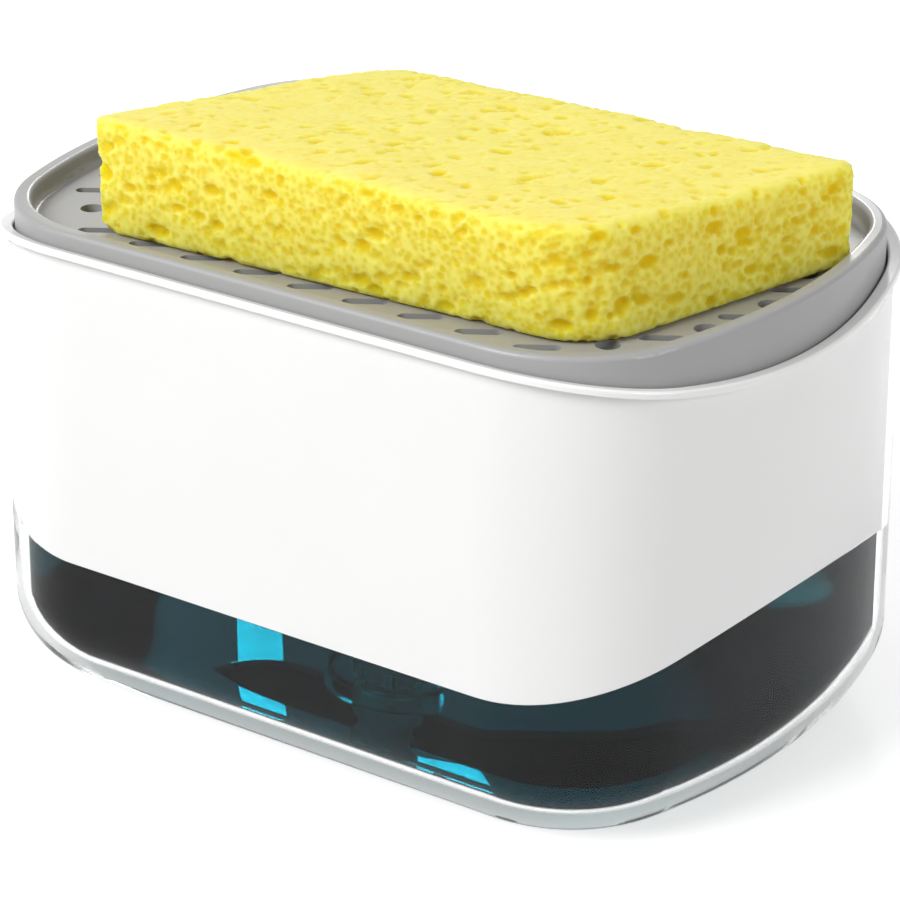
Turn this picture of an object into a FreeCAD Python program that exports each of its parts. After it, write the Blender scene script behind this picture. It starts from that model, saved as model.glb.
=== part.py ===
"""Soap pump caddy in millimetres: clear tub, white sleeve, press tray with its pump, and sponge.

The origin is the middle of the footprint, on the surface that the caddy stands on. X runs along
the long side, the front faces -Y and +Z is up. Every length is a cell of the sheet, and the
levels below are sums of those cells, so each piece follows what it seats on.
"""
import FreeCAD
import Part
import math
import os
import re
import Sketcher
from FreeCAD import Vector

SIZES = {
    # Outline of the case, seen from above: straight long sides, round corners, bowed ends
    "case_length": 150.0,
    "case_depth": 104.4,
    "corner_radius": 28.5,
    "end_radius": 110.0,
    # Clear tub
    "rim_height": 85.4,
    "rim_dip": 7.1,
    "wall": 2.4,
    "rebate_wall": 1.25,
    "floor_thickness": 3.4,
    "bottom_round": 14.5,
    "cavity_round": 11.5,
    "sump_ring_diameter": 25.0,
    "sump_ring_wall": 1.6,
    "sump_ring_height": 1.8,
    # Foot pads
    "foot_diameter": 12.0,
    "foot_thickness": 1.6,
    "foot_proud": 0.5,
    "foot_spacing_long": 92.0,
    "foot_spacing_short": 46.0,
    # White sleeve
    "arch_low": 26.6,
    "arch_rise": 10.9,
    "bead_height": 1.3,
    "bead_round": 0.45,
    "ledge_reach": 2.6,
    "ledge_thickness": 1.6,
    # Press tray
    "tray_proud": 2.2,
    "tray_gap": 0.35,
    "rim_bead_width": 3.0,
    "rim_round": 0.9,
    "dish_depth": 3.5,
    "dish_round": 1.2,
    "tray_plate": 1.8,
    "skirt_wall": 1.8,
    "skirt_height": 14.6,
    "boss_diameter": 13.4,
    "boss_drop": 9.7,
    "hub_diameter": 27.0,
    "tray_rib_thickness": 1.4,
    "tray_rib_depth": 2.0,
    # Drain pattern of the tray: rows of slanted slots, with round holes between them
    "drain_row_pitch": 7.55,
    "drain_pitch": 11.3,
    "drain_reach": 65.0,
    "drain_sweep": 46.0,
    "slot_length": 5.4,
    "slot_width": 2.4,
    "slot_slant": 33.0,
    "dot_diameter": 4.2,
    # Travel and stops
    "press_travel": 8.0,
    "stop_gap": 0.6,
    # Deck
    "deck_gap": 0.4,
    "deck_plate": 2.0,
    "upstand_wall": 1.4,
    "upstand_gap": 0.7,
    "upstand_drop": 1.8,
    "locator_depth": 3.0,
    "locator_wall": 1.4,
    "deck_gasket_thickness": 1.2,
    "neck_diameter": 28.0,
    "deck_rib_thickness": 1.4,
    # Pump cylinder and what clamps it
    "bore_diameter": 16.4,
    "barrel_wall": 1.7,
    "flange_diameter": 27.0,
    "flange_thickness": 1.6,
    "washer_thickness": 0.8,
    "guide_flange": 1.2,
    "guide_floor": 3.0,
    "nut_top": 1.6,
    "nut_diameter": 34.0,
    "nut_flute_diameter": 2.4,
    "valve_wall": 1.7,
    "inlet_height": 26.3,
    "throat_length": 1.6,
    "socket_depth": 7.0,
    # Stem, piston, balls and spring
    "stem_diameter": 8.0,
    "throat_diameter": 3.6,
    "seat_lip": 0.7,
    "stem_foot_diameter": 12.0,
    "stem_foot": 1.5,
    "piston_length": 8.0,
    "piston_lip": 1.6,
    "piston_waist_diameter": 13.0,
    "ball_diameter": 6.0,
    "ball_lift": 1.5,
    "ball_room": 0.6,
    "cage_thickness": 1.4,
    "cage_port_diameter": 2.6,
    "spring_pitch": 2.8,
    "spring_diameter": 10.2,
    "wire_diameter": 1.0,
    "spring_least_gap": 0.4,
    # Nozzle
    "nozzle_diameter": 16.0,
    "nozzle_flange": 1.2,
    "nozzle_roof": 1.6,
    "nozzle_wall": 1.2,
    "nozzle_hole_diameter": 1.3,
    # Suction tube and strainer
    "tube_diameter": 6.2,
    "tube_bore": 3.8,
    "strainer_diameter": 13.4,
    "strainer_height": 5.0,
    "strainer_wall": 1.3,
    "strainer_clear": 1.4,
    "strainer_hub_wall": 1.5,
    "strainer_hub_height": 2.2,
    "strainer_notch": 2.4,
    # Sponge
    "sponge_length": 95.0,
    "sponge_depth": 68.0,
    "sponge_skew": 11.0,
    "sponge_front": 20.5,
    "sponge_back": 14.5,
    "sponge_shift_long": 7.5,
    "sponge_shift_short": 3.0,
    "sponge_corner": 8.0,
    "sponge_edge": 2.0,
    # Clearances, and the overrun of every cut
    "static_fit": 0.05,
    "running_fit": 0.05,
    "boss_fit": 0.4,
    "thread_fit": 0.15,
    "ball_fit": 0.08,
    "rest_gap": 0.3,
    "seat_gap": 0.2,
    "overrun": 3.0,
}

FOOT_COUNT_EACH_WAY = 2
NUT_FLUTES = 24
NOZZLE_HOLES = 6
CAGE_PORTS = 4
STRAINER_NOTCHES = 6
DRAIN_ROWS = 5
DOTS_PER_ROW = 6
BIARCS_PER_TURN = 4
GAP_SAMPLES_PER_TURN = 48

# Curves of the case
HALF_LENGTH = "(case_length / 2)"
HALF_DEPTH = "(case_depth / 2)"
RIM_RADIUS = f"(({HALF_DEPTH}^2 + rim_dip^2) / (2 * rim_dip))"
RIM_LOW = "(rim_height - rim_dip)"
ARCH_RADIUS = f"(({HALF_DEPTH}^2 + arch_rise^2) / (2 * arch_rise))"
ARCH_TOP = "(arch_low + arch_rise)"
FLOOR_TOP = "(foot_proud + floor_thickness)"

# Levels of the tray and the deck, from the tray down
TRAY_TOP = "(rim_height + tray_proud)"
TRAY_FLOOR = f"({TRAY_TOP} - dish_depth)"
TRAY_UNDER = f"({TRAY_FLOOR} - tray_plate)"
SKIRT_BOTTOM = f"({TRAY_TOP} - skirt_height)"
BOSS_BOTTOM = f"({TRAY_UNDER} - boss_drop)"
DECK_TOP = f"({SKIRT_BOTTOM} - press_travel - stop_gap)"
DECK_UNDER = f"({DECK_TOP} - deck_plate)"
LEDGE_TOP = f"({DECK_UNDER} - deck_gasket_thickness)"
NUT_TOP = f"({TRAY_UNDER} - tray_rib_depth - press_travel - stop_gap)"
GUIDE_TOP = f"({NUT_TOP} - nut_top)"
FLANGE_TOP = f"({GUIDE_TOP} - guide_flange)"
FLANGE_UNDER = f"({FLANGE_TOP} - flange_thickness)"
NECK_TOP = f"({FLANGE_UNDER} - washer_thickness)"
UPSTAND_TOP = f"({NUT_TOP} - upstand_drop)"

# Levels inside the pump: piston and stem from the guide down, inlet valve from the tub's floor up
GUIDE_FLOOR = f"({BOSS_BOTTOM} - press_travel - stop_gap)"
GUIDE_BOTTOM = f"({GUIDE_FLOOR} - guide_floor)"
PISTON_TOP = f"({GUIDE_BOTTOM} - rest_gap)"
PISTON_BOTTOM = f"({PISTON_TOP} - piston_length)"
STEM_BOTTOM = f"({PISTON_BOTTOM} - stem_foot)"
CAGE_TOP = f"({FLOOR_TOP} + inlet_height)"
CAGE_SEAT = f"({CAGE_TOP} - cage_thickness)"
THROAT = "(throat_diameter / 2)"
BALL = "(ball_diameter / 2)"
BALL_CENTRE_UP = f"(({BALL} + ball_fit) * sqrt(2) - {THROAT})"
BALL_STACK = f"({BALL_CENTRE_UP} + {BALL} + ball_lift + ball_fit)"
INLET_SEAT = f"({CAGE_SEAT} - {BALL_STACK})"
SOCKET_TOP = f"({INLET_SEAT} - throat_length)"
BARREL_BOTTOM = f"({SOCKET_TOP} - socket_depth)"
STRAINER_BOTTOM = f"({FLOOR_TOP} + strainer_clear)"
STRAINER_TOP = f"({STRAINER_BOTTOM} + strainer_height)"
NOZZLE_TOP = f"({TRAY_FLOOR} - static_fit)"
ROOF_UNDER = f"({NOZZLE_TOP} - nozzle_roof)"
OUTLET_SEAT = f"({ROOF_UNDER} - {BALL_STACK})"
STEM_SEAT_RADIUS = "(stem_diameter / 2 - seat_lip)"
STEM_TOP = f"({OUTLET_SEAT} + {STEM_SEAT_RADIUS} - {THROAT})"

# Radii that neighbours share
BORE = "(bore_diameter / 2)"
BARREL = f"({BORE} + barrel_wall)"
STEM = "(stem_diameter / 2)"
BOSS = "(boss_diameter / 2)"
CHAMBER = f"({BALL} + ball_room)"
VALVE_BODY = f"({CHAMBER} + valve_wall)"
PLUG = f"({CHAMBER} + nozzle_wall)"
TUBE = "(tube_diameter / 2)"
NECK = "(neck_diameter / 2)"

# Insets of the case outline
TRAY_INSET = "(wall + tray_gap)"
SKIRT_INSET = f"({TRAY_INSET} + skirt_wall)"
LEDGE_INSET = "(wall + ledge_reach)"
DECK_INSET = "(wall + deck_gap)"
UPSTAND_INSET = f"({SKIRT_INSET} + upstand_gap)"
LOCATOR_INSET = f"({LEDGE_INSET} + deck_gap)"
SPONGE_BOTTOM = f"({TRAY_FLOOR} + seat_gap)"

doc = FreeCAD.newDocument("soap_pump_caddy")
sheet = doc.addObject("Spreadsheet::Sheet", "Sizes")
for row, (alias, number) in enumerate(SIZES.items(), 1):
    sheet.set(f"A{row}", alias)
    sheet.set(f"B{row}", str(number))
    sheet.setAlias(f"B{row}", alias)
doc.recompute()

sub_parts = []


def cells(text):
    """Return an expression in which each size is a cell of the sheet."""
    return re.sub(r"[a-z]\w*", lambda word: f"Sizes.{word[0]}" if word[0] in SIZES else word[0], text)


def value(text):
    """Return what an expression of sizes comes to."""
    return float(sheet.evalExpression(cells(text)))


def bind(item, name, text):
    """Bind a property to an expression of sizes."""
    item.setExpression(name, cells(text))


def new_body(label):
    """Start a sub-part, whose label is its node's name."""
    body = doc.addObject("PartDesign::Body", label)
    body.Label = label
    sub_parts.append(body)
    return body


def new_sketch(body, name, role="XY_Plane", level=None):
    """Attach a sketch to an origin plane of its body, raised to a level."""
    sketch = body.newObject("Sketcher::SketchObject", name)
    plane = next(item for item in body.Origin.OriginFeatures if item.Role == role)
    sketch.AttachmentSupport = [(plane, "")]
    sketch.MapMode = "FlatFace"
    if level:
        bind(sketch, "AttachmentOffset.Base.z", level)
    return sketch


def fix(sketch, kind, *places, size):
    """Add a sized constraint that is bound to an expression."""
    number = sketch.addConstraint(Sketcher.Constraint(kind, *places, value(size)))
    bind(sketch, f"Constraints[{number}]", size)


def arc(x, y, radius, start, end):
    """Return an arc of a circle for a sketch, from start to end angle."""
    circle = Part.Circle(Vector(x, y, 0), Vector(0, 0, 1), radius)
    return Part.ArcOfCircle(circle, start, end)


def outline(sketch, inset="0"):
    """Add the closed outline of the case, drawn in by an inset."""
    end_radius = value("end_radius")
    corner_radius = value("corner_radius")
    end_x = value(f"{HALF_LENGTH} - end_radius")
    corner_y = value(f"{HALF_DEPTH} - corner_radius")
    turn = math.asin(corner_y / (end_radius - corner_radius))
    corner_x = end_x + (end_radius - corner_radius) * math.cos(turn)
    half = value(f"{HALF_DEPTH} - ({inset})")
    bowed = value(f"end_radius - ({inset})")
    corner = value(f"corner_radius - ({inset})")
    right = math.pi / 2
    first = sketch.GeometryCount
    sketch.addGeometry([
        arc(end_x, 0, bowed, -turn, turn),
        arc(corner_x, corner_y, corner, turn, right),
        Part.LineSegment(Vector(corner_x, half, 0), Vector(-corner_x, half, 0)),
        arc(-corner_x, corner_y, corner, right, math.pi - turn),
        arc(-end_x, 0, bowed, math.pi - turn, math.pi + turn),
        arc(-corner_x, -corner_y, corner, math.pi + turn, math.pi + right),
        Part.LineSegment(Vector(-corner_x, -half, 0), Vector(corner_x, -half, 0)),
        arc(corner_x, -corner_y, corner, -right, -turn),
    ], False)
    names = [first + step for step in range(sketch.GeometryCount - first)]
    right_end, corner_arc, back, _, left_end, _, front, _ = names
    for here, there in zip(names, names[1:] + names[:1]):
        sketch.addConstraint(Sketcher.Constraint("Tangent", here, 2, there, 1))
    for other in names[3::2]:
        if other not in (back, front):
            sketch.addConstraint(Sketcher.Constraint("Equal", corner_arc, other))
    sketch.addConstraint(Sketcher.Constraint("Equal", right_end, left_end))
    for end in (right_end, left_end):
        sketch.addConstraint(Sketcher.Constraint("PointOnObject", end, 3, -1))
    for side in (back, front):
        sketch.addConstraint(Sketcher.Constraint("Horizontal", side))
    fix(sketch, "Radius", corner_arc, size=f"corner_radius - ({inset})")
    fix(sketch, "Radius", right_end, size=f"end_radius - ({inset})")
    fix(sketch, "DistanceX", right_end, 3, -1, 1, size=f"end_radius - {HALF_LENGTH}")
    fix(sketch, "DistanceX", -1, 1, left_end, 3, size=f"end_radius - {HALF_LENGTH}")
    fix(sketch, "DistanceY", -1, 1, back, 1, size=f"{HALF_DEPTH} - ({inset})")
    fix(sketch, "DistanceY", front, 1, -1, 1, size=f"{HALF_DEPTH} - ({inset})")


def place_point(sketch, item, end, x, y):
    """Hold a point of a sketch at two expressions, either side of the axes."""
    for kind, axis, text in (("DistanceX", -2, x), ("DistanceY", -1, y)):
        size = value(text)
        if size == 0:
            sketch.addConstraint(Sketcher.Constraint("PointOnObject", item, end, axis))
        elif size > 0:
            fix(sketch, kind, -1, 1, item, end, size=text)
        else:
            fix(sketch, kind, item, end, -1, 1, size=f"-({text})")


def polygon(sketch, points):
    """Add a closed polygon through points that are pairs of expressions."""
    first = sketch.GeometryCount
    spots = [Vector(value(x), value(y), 0) for x, y in points]
    sketch.addGeometry([Part.LineSegment(a, b) for a, b in zip(spots, spots[1:] + spots[:1])], False)
    count = len(points)
    for step, (x, y) in enumerate(points):
        after = (step + 1) % count
        sketch.addConstraint(Sketcher.Constraint("Coincident", first + step, 2, first + after, 1))
        place_point(sketch, first + step, 1, x, y)


def circle(sketch, diameter, x="0", y="0"):
    """Add a circle, centred on the origin unless it is told where."""
    number = sketch.addGeometry(
        Part.Circle(Vector(value(x), value(y), 0), Vector(0, 0, 1), value(f"({diameter}) / 2")), False)
    place_point(sketch, number, 3, x, y)
    fix(sketch, "Diameter", number, size=diameter)


def bowed_region(sketch, bow, radius, cap, dips=False):
    """Add the region between an arc across the case and a level edge called cap.

    The middle of the arc is at the level called bow. The arc arches up, or dips as the rim does,
    and it reaches past both long sides by the overrun.
    """
    reach = f"({HALF_DEPTH} + overrun)"
    sag = f"(({radius}) - sqrt(({radius})^2 - {reach}^2))"
    foot = f"(({bow}) + {sag})" if dips else f"(({bow}) - {sag})"
    size = value(radius)
    angle = math.acos(value(reach) / size)
    if dips:
        bow_arc = arc(0, value(bow) + size, size, math.pi + angle, 2 * math.pi - angle)
        first, last = f"-{reach}", reach
    else:
        bow_arc = arc(0, value(bow) - size, size, angle, math.pi - angle)
        first, last = reach, f"-{reach}"
    corners = [(last, foot), (last, cap), (first, cap), (first, foot)]
    spots = [Vector(value(x), value(y), 0) for x, y in corners]
    sketch.addGeometry([bow_arc] + [Part.LineSegment(a, b) for a, b in zip(spots, spots[1:])], False)
    for here, there in ((0, 1), (1, 2), (2, 3), (3, 0)):
        sketch.addConstraint(Sketcher.Constraint("Coincident", here, 2, there, 1))
    fix(sketch, "Radius", 0, size=radius)
    place_point(sketch, 0, 1, first, foot)
    for line, (x, y) in enumerate(corners[:3]):
        place_point(sketch, line, 2, x, y)


def add_feature(body, kind, sketch, length=None):
    """Add a pad or a pocket of a sketch to a body, along the sketch's own direction."""
    feature = body.newObject(f"PartDesign::{kind}", f"{sketch.Name}_{kind.lower()}")
    feature.Profile = sketch
    if length:
        bind(feature, "Length", length)
    return feature


def pad(body, sketch, length):
    """Pad a sketch upwards by a length."""
    return add_feature(body, "Pad", sketch, length)


def pocket(body, sketch, length, upwards=False):
    """Cut a sketch into the body by a length, downwards unless it is told otherwise."""
    feature = add_feature(body, "Pocket", sketch, length)
    feature.Reversed = upwards
    return check_cut(body, feature)


def cut_across(body, sketch):
    """Cut a sketch of the cross-section through the whole length of the case."""
    feature = add_feature(body, "Pocket", sketch, "case_length + 2 * overrun")
    feature.SideType = "Symmetric"
    return check_cut(body, feature)


def check_cut(body, feature):
    """Recompute, and stop if a cut took nothing away."""
    before = feature.BaseFeature.Shape.Volume
    doc.recompute()
    if feature.Shape.isNull() or feature.Shape.Volume >= before:
        raise RuntimeError(f"{body.Label}: {feature.Name} cut nothing")
    return feature


def around(body, feature, count):
    """Repeat a feature about the vertical axis."""
    pattern = body.newObject("PartDesign::PolarPattern", f"{feature.Name}_around")
    pattern.Originals = [feature]
    pattern.Axis = (feature.Profile[0], ["N_Axis"])
    pattern.Angle = 360
    pattern.Occurrences = count
    body.Tip = pattern
    doc.recompute()
    return pattern


def round_edges(body, base, radius, test):
    """Round the edges of a feature that pass a test."""
    doc.recompute()
    names = [f"Edge{number}" for number, edge in enumerate(base.Shape.Edges, 1) if test(edge)]
    if not names:
        raise RuntimeError(f"{body.Label}: no edge to round after {base.Name}")
    fillet = body.newObject("PartDesign::Fillet", f"{base.Name}_round")
    fillet.Base = (base, names)
    bind(fillet, "Radius", radius)
    doc.recompute()
    return fillet


def at_level(text):
    """Return a test for edges that lie at a level."""
    level = value(text)
    near = value("static_fit") / 10
    return lambda edge: abs(edge.BoundBox.ZMin - level) < near and abs(edge.BoundBox.ZMax - level) < near


def turned(label, points):
    """Make a sub-part by turning a profile of radius and level about the vertical axis."""
    body = new_body(label)
    sketch = new_sketch(body, f"{label}_profile", "XZ_Plane")
    polygon(sketch, points)
    revolution = body.newObject("PartDesign::Revolution", f"{label}_turning")
    revolution.Profile = sketch
    revolution.ReferenceAxis = (sketch, ["V_Axis"])
    revolution.Angle = 360
    doc.recompute()
    return body


def holes_around(body, name, level, depth, diameter, radius, count, upwards=False):
    """Cut a ring of round holes about the vertical axis."""
    sketch = new_sketch(body, name, level=level)
    circle(sketch, diameter, x=radius)
    around(body, pocket(body, sketch, depth, upwards), count)


def foot_places():
    """Return the centres of the foot pads as pairs of expressions."""
    signs = [f"{2 * step - 1}" for step in range(FOOT_COUNT_EACH_WAY)]
    return [(f"{a} * foot_spacing_long / 2", f"{b} * foot_spacing_short / 2") for a in signs for b in signs]


def make_rebate_tool():
    """Make the space inside the tub's upper wall that the white sleeve fills, with its arched foot."""
    tool = doc.addObject("PartDesign::Body", "rebate_tool")
    level = "(arch_low - overrun)"
    sketch = new_sketch(tool, "rebate_outline", level=level)
    outline(sketch, "rebate_wall")
    pad(tool, sketch, f"rim_height + overrun - {level}")
    doc.recompute()
    arch = new_sketch(tool, "rebate_arch", "YZ_Plane")
    bowed_region(arch, ARCH_TOP, ARCH_RADIUS, f"({level} - overrun)")
    cut_across(tool, arch)
    return tool


def make_reservoir():
    """Make the clear tub: rounded foot, dipped rim, arched inner rebate, sump ring and pad recesses."""
    body = new_body("reservoir")
    block = new_sketch(body, "tub_outline", level="foot_proud")
    outline(block)
    pad(body, block, "rim_height - foot_proud")
    doc.recompute()
    cavity = new_sketch(body, "tub_cavity", level="rim_height")
    outline(cavity, "wall")
    base = pocket(body, cavity, f"rim_height - {FLOOR_TOP}")
    base = round_edges(body, base, "cavity_round", at_level(FLOOR_TOP))
    round_edges(body, base, "bottom_round", at_level("foot_proud"))
    rim = new_sketch(body, "tub_rim", "YZ_Plane")
    bowed_region(rim, f"({RIM_LOW} - bead_height)", RIM_RADIUS, "(rim_height + case_depth)", dips=True)
    cut_across(body, rim)
    rebate = body.newObject("PartDesign::Boolean", "tub_rebate")
    rebate.setObjects([make_rebate_tool()])
    rebate.Type = "Cut"
    body.Tip = rebate
    doc.recompute()
    ring = new_sketch(body, "sump_ring", level=f"{FLOOR_TOP} - static_fit")
    circle(ring, "sump_ring_diameter")
    circle(ring, "sump_ring_diameter - 2 * sump_ring_wall")
    pad(body, ring, "sump_ring_height + static_fit")
    doc.recompute()
    seats = new_sketch(body, "pad_recesses", level="foot_proud")
    for x, y in foot_places():
        circle(seats, "foot_diameter + 2 * static_fit", x, y)
    pocket(body, seats, "foot_thickness - foot_proud", upwards=True)


def make_foot_pads():
    """Make the four silicone pads, one solid each, sunk into the underside of the tub."""
    pads = doc.addObject("Part::Compound", "foot_pads")
    pads.Label = "foot_pads"
    discs = []
    for number, (x, y) in enumerate(foot_places(), 1):
        disc = doc.addObject("Part::Cylinder", f"foot_pad_{number}")
        bind(disc, "Radius", "foot_diameter / 2")
        bind(disc, "Height", "foot_thickness")
        bind(disc, "Placement.Base.x", x)
        bind(disc, "Placement.Base.y", y)
        discs.append(disc)
    pads.Links = discs
    sub_parts.append(pads)


def make_white_sleeve():
    """Make the white liner: arched lower edge, bead over the clear rim, and the ledge for the deck."""
    body = new_body("white_sleeve")
    bead_foot = f"({RIM_LOW} - bead_height - overrun)"
    bead = new_sketch(body, "bead_outline", level=bead_foot)
    outline(bead)
    pad(body, bead, f"rim_height + overrun - {bead_foot}")
    doc.recompute()
    under = new_sketch(body, "bead_under", "YZ_Plane")
    bead_low = f"({RIM_LOW} - bead_height + static_fit)"
    bowed_region(under, bead_low, RIM_RADIUS, f"({bead_foot} - overrun)", dips=True)
    cut_across(body, under)
    liner = new_sketch(body, "liner_outline", level="arch_low - overrun")
    outline(liner, "rebate_wall + static_fit")
    pad(body, liner, "rim_height + 2 * overrun - arch_low")
    doc.recompute()
    arch = new_sketch(body, "liner_arch", "YZ_Plane")
    bowed_region(arch, f"({ARCH_TOP} + static_fit)", ARCH_RADIUS, "(arch_low - 3 * overrun)")
    cut_across(body, arch)
    rim = new_sketch(body, "liner_rim", "YZ_Plane")
    bowed_region(rim, RIM_LOW, RIM_RADIUS, "(rim_height + case_depth)", dips=True)
    cut_across(body, rim)
    bore = new_sketch(body, "liner_bore", level="rim_height + overrun")
    outline(bore, "wall")
    cut = pocket(body, bore, "rim_height + 3 * overrun - arch_low")
    round_edges(body, cut, "bead_round", on_rim)
    ledge = new_sketch(body, "deck_ledge", level=f"{LEDGE_TOP} - ledge_thickness")
    outline(ledge, "wall - static_fit")
    outline(ledge, LEDGE_INSET)
    pad(body, ledge, "ledge_thickness")
    doc.recompute()


def on_rim(edge):
    """Say whether an edge runs along the dipped top of the sleeve."""
    radius = value(RIM_RADIUS)
    low = value(RIM_LOW)
    near = value("static_fit") / 10
    points = edge.discretize(5)
    return all(abs(p.z - (low + radius - math.sqrt(radius ** 2 - p.y ** 2))) < near for p in points)


def make_press_tray():
    """Make the grey tray: a blank with skirt, rim bead, dish, ribs and boss, then its drains."""
    blank = doc.addObject("PartDesign::Body", "tray_blank")
    block = new_sketch(blank, "tray_outline", level=SKIRT_BOTTOM)
    outline(block, TRAY_INSET)
    pad(blank, block, "skirt_height")
    doc.recompute()
    hollow = new_sketch(blank, "tray_hollow", level=SKIRT_BOTTOM)
    outline(hollow, SKIRT_INSET)
    pocket(blank, hollow, f"{TRAY_UNDER} - {SKIRT_BOTTOM}", upwards=True)
    dish = new_sketch(blank, "tray_dish", level=TRAY_TOP)
    outline(dish, f"{TRAY_INSET} + rim_bead_width")
    base = pocket(blank, dish, "dish_depth")
    base = round_edges(blank, base, "rim_round", at_level(TRAY_TOP))
    round_edges(blank, base, "dish_round", at_level(TRAY_FLOOR))
    boss = new_sketch(blank, "stem_boss", level=BOSS_BOTTOM)
    circle(boss, "boss_diameter")
    pad(blank, boss, "boss_drop + tray_plate")
    doc.recompute()
    add_tray_ribs(blank)
    for name, diameter, depth in (
            ("nozzle_recess", "nozzle_diameter + 2 * static_fit", "nozzle_flange + static_fit"),
            ("nozzle_bore", f"2 * ({PLUG} + static_fit)", f"{TRAY_FLOOR} - {STEM_TOP}"),
            ("stem_socket", f"2 * ({STEM} + static_fit)", TRAY_TOP)):
        bore = new_sketch(blank, name, level=TRAY_FLOOR)
        circle(bore, diameter)
        pocket(blank, bore, depth)
    drains = doc.addObject("Part::Feature", "tray_drains")
    drains.Shape = drain_prisms()
    tray = doc.addObject("Part::Cut", "press_tray")
    tray.Label = "press_tray"
    tray.Base = blank
    tray.Tool = drains
    doc.recompute()
    sub_parts.append(tray)


def add_tray_ribs(body):
    """Add the two crossed ribs under the tray's plate, from the boss to the skirt."""
    ribs = new_sketch(body, "tray_ribs", level=f"{TRAY_UNDER} - tray_rib_depth")
    half = "tray_rib_thickness / 2"
    end = f"({HALF_LENGTH} - {SKIRT_INSET} + static_fit)"
    start = f"({BOSS} - tray_rib_thickness)"
    for sign in ("", "-"):
        polygon(ribs, [(f"{sign}{start}", half), (f"{sign}{end}", half),
                       (f"{sign}{end}", f"-{half}"), (f"{sign}{start}", f"-{half}")])
    pad(body, ribs, "tray_rib_depth")
    doc.recompute()


def drain_prisms():
    """Return the drains as prisms: rows of slanted slots, with rows of round holes between them."""
    pitch = value("drain_row_pitch")
    sweep = value("drain_sweep")
    keep_off = value("(hub_diameter + slot_length) / 2")
    level = value(f"{TRAY_UNDER} - static_fit")
    depth = Vector(0, 0, value("tray_plate + 2 * static_fit"))
    prisms = []
    for row in range(-DRAIN_ROWS, DRAIN_ROWS + 1):
        y = row * pitch
        reach = value("drain_reach") - sweep + math.sqrt(sweep ** 2 - y ** 2)
        slots = row % 2 == 1
        count = math.floor(2 * reach / value("drain_pitch")) + 1 if slots else DOTS_PER_ROW
        face = slot_face() if slots else dot_face()
        for step in range(count):
            spot = Vector(reach * (2 * step / (count - 1) - 1), y, level)
            if math.hypot(spot.x, spot.y) > keep_off:
                prisms.append(face.translated(spot).extrude(depth))
    return Part.makeCompound(prisms)


def dot_face():
    """Return a round drain about the origin."""
    return Part.Face(Part.Wire(Part.makeCircle(value("dot_diameter / 2"))))


def slot_face():
    """Return a slanted drain slot with round ends about the origin."""
    slant = math.radians(value("slot_slant"))
    along = Vector(math.cos(slant), math.sin(slant), 0)
    across = Vector(-along.y, along.x, 0)
    far = along * value("slot_length / 2")
    side = across * value("slot_width / 2")
    tip = far + along * side.Length
    corners = [side - far, side + far, far - side, (far + side) * -1]
    edges = [Part.LineSegment(corners[0], corners[1]), Part.Arc(corners[1], tip, corners[2]),
             Part.LineSegment(corners[2], corners[3]), Part.Arc(corners[3], tip * -1, corners[0])]
    return Part.Face(Part.Wire([edge.toShape() for edge in edges]))


def make_pump_deck():
    """Make the drip deck: plate, upstand inside the tray's skirt, locator, neck and ribs."""
    body = new_body("pump_deck")
    plate = new_sketch(body, "deck_outline", level=DECK_UNDER)
    outline(plate, DECK_INSET)
    pad(body, plate, "deck_plate")
    upstand = new_sketch(body, "deck_upstand", level=DECK_UNDER)
    outline(upstand, UPSTAND_INSET)
    outline(upstand, f"{UPSTAND_INSET} + upstand_wall")
    pad(body, upstand, f"{UPSTAND_TOP} - {DECK_UNDER}")
    locator = new_sketch(body, "deck_locator", level=f"{DECK_UNDER} - locator_depth")
    outline(locator, LOCATOR_INSET)
    outline(locator, f"{LOCATOR_INSET} + locator_wall")
    pad(body, locator, "locator_depth + deck_plate")
    neck = new_sketch(body, "deck_neck", level=f"{DECK_UNDER} - locator_depth")
    circle(neck, "neck_diameter")
    pad(body, neck, f"{NECK_TOP} - {DECK_UNDER} + locator_depth")
    ribs = new_sketch(body, "deck_ribs", level=f"{DECK_UNDER} - locator_depth")
    half = "deck_rib_thickness / 2"
    start = f"({NECK} - deck_rib_thickness)"
    long_end = f"({HALF_LENGTH} - {LOCATOR_INSET} - locator_wall + static_fit)"
    short_end = f"({HALF_DEPTH} - {LOCATOR_INSET} - locator_wall + static_fit)"
    for sign in ("", "-"):
        polygon(ribs, [(f"{sign}{start}", half), (f"{sign}{long_end}", half),
                       (f"{sign}{long_end}", f"-{half}"), (f"{sign}{start}", f"-{half}")])
        polygon(ribs, [(half, f"{sign}{start}"), (half, f"{sign}{short_end}"),
                       (f"-{half}", f"{sign}{short_end}"), (f"-{half}", f"{sign}{start}")])
    pad(body, ribs, "locator_depth + deck_plate / 2")
    doc.recompute()
    bore = new_sketch(body, "neck_bore", level=NECK_TOP)
    circle(bore, f"2 * ({BARREL} + static_fit)")
    pocket(body, bore, f"{NECK_TOP} - {DECK_UNDER} + locator_depth + overrun")


def make_deck_gasket():
    """Make the flat gasket between the deck and the sleeve's ledge."""
    body = new_body("deck_gasket")
    ring = new_sketch(body, "gasket_outline", level=LEDGE_TOP)
    outline(ring, DECK_INSET)
    outline(ring, LEDGE_INSET)
    pad(body, ring, "deck_gasket_thickness")
    doc.recompute()


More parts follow.
